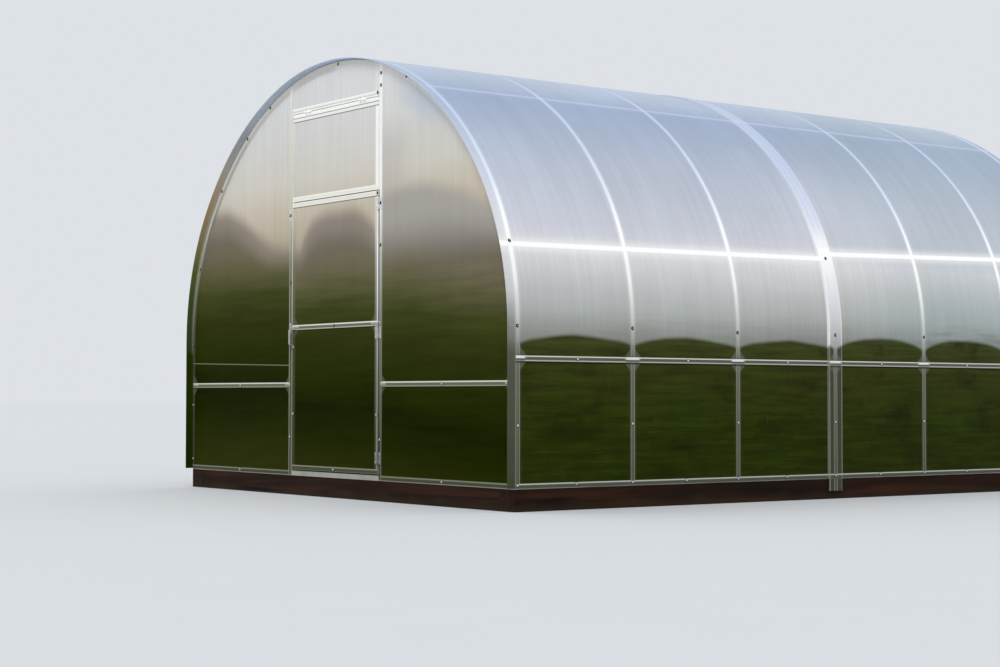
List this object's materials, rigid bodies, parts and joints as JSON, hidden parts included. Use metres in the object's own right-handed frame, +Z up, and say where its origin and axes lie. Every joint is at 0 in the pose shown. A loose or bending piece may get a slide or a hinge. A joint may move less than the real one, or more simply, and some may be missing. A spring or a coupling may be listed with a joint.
{
  "type": "polycarbonate greenhouse",
  "caption": "Arched walk-in garden greenhouse of square steel tube and twin-wall polycarbonate on a timber footing, with a hinged door in the gable.",
  "frame": {"origin": "centre of the footprint on the ground, under the timber footing", "axes": "+Z up, +Y along the house from the door gable to the far gable, +X to the right seen from outside the door"},
  "size_m": [3.0226, 4.11, 2.2061],
  "materials": {
    "galvanised_steel": "zinc-coated square tube",
    "clamp_steel": "zinc-plated stampings and hinges",
    "polycarbonate": "clear twin-wall sheet, milky along its flutes",
    "timber": "dark weathered beam"
  },
  "bodies": {
    "house": {"arch_1": "galvanised_steel", "arch_2": "galvanised_steel", "arch_3": "galvanised_steel", "arch_4": "galvanised_steel", "arch_5": "galvanised_steel", "arch_6": "galvanised_steel", "arch_7": "galvanised_steel", "base_rail_right": "galvanised_steel", "base_rail_left": "galvanised_steel", "end_base_rails": "galvanised_steel", "lower_rail_right": "galvanised_steel", "lower_rail_left": "galvanised_steel", "middle_purlin_right": "galvanised_steel", "middle_purlin_left": "galvanised_steel", "upper_purlin_right": "galvanised_steel", "upper_purlin_left": "galvanised_steel", "cross_clamps_right": "clamp_steel", "cross_clamps_left": "clamp_steel", "side_timbers": "timber", "end_timbers": "timber", "front_posts": "galvanised_steel", "front_lintel": "galvanised_steel", "gable_side_rails": "galvanised_steel", "back_posts": "galvanised_steel", "back_lintel": "galvanised_steel", "gable_clamps": "clamp_steel", "front_panel_right": "polycarbonate", "front_panel_left": "polycarbonate", "front_panel_top": "polycarbonate", "vent_frame": "galvanised_steel", "vent_panel": "polycarbonate", "back_panels": "polycarbonate", "back_door_frame": "galvanised_steel", "back_vent_frame": "galvanised_steel", "back_fittings": "clamp_steel", "post_hinges": "clamp_steel", "turn_latches": "clamp_steel", "vent_hinges": "clamp_steel", "roof_sheet_front": "polycarbonate", "roof_sheet_back": "polycarbonate"},
    "door_leaf": {"door_frame": "galvanised_steel", "door_panel": "polycarbonate", "leaf_hinges": "clamp_steel", "leaf_clamps": "clamp_steel", "door_handle": "clamp_steel"}
  },
  "joints": [
    {"name": "door_swing", "type": "hinge", "parent": "house", "child": "door_leaf", "pos_m": [0.41, -2.0215, 0.8], "axis": [0, 0, 1], "range_deg": [0, 110]}
  ]
}
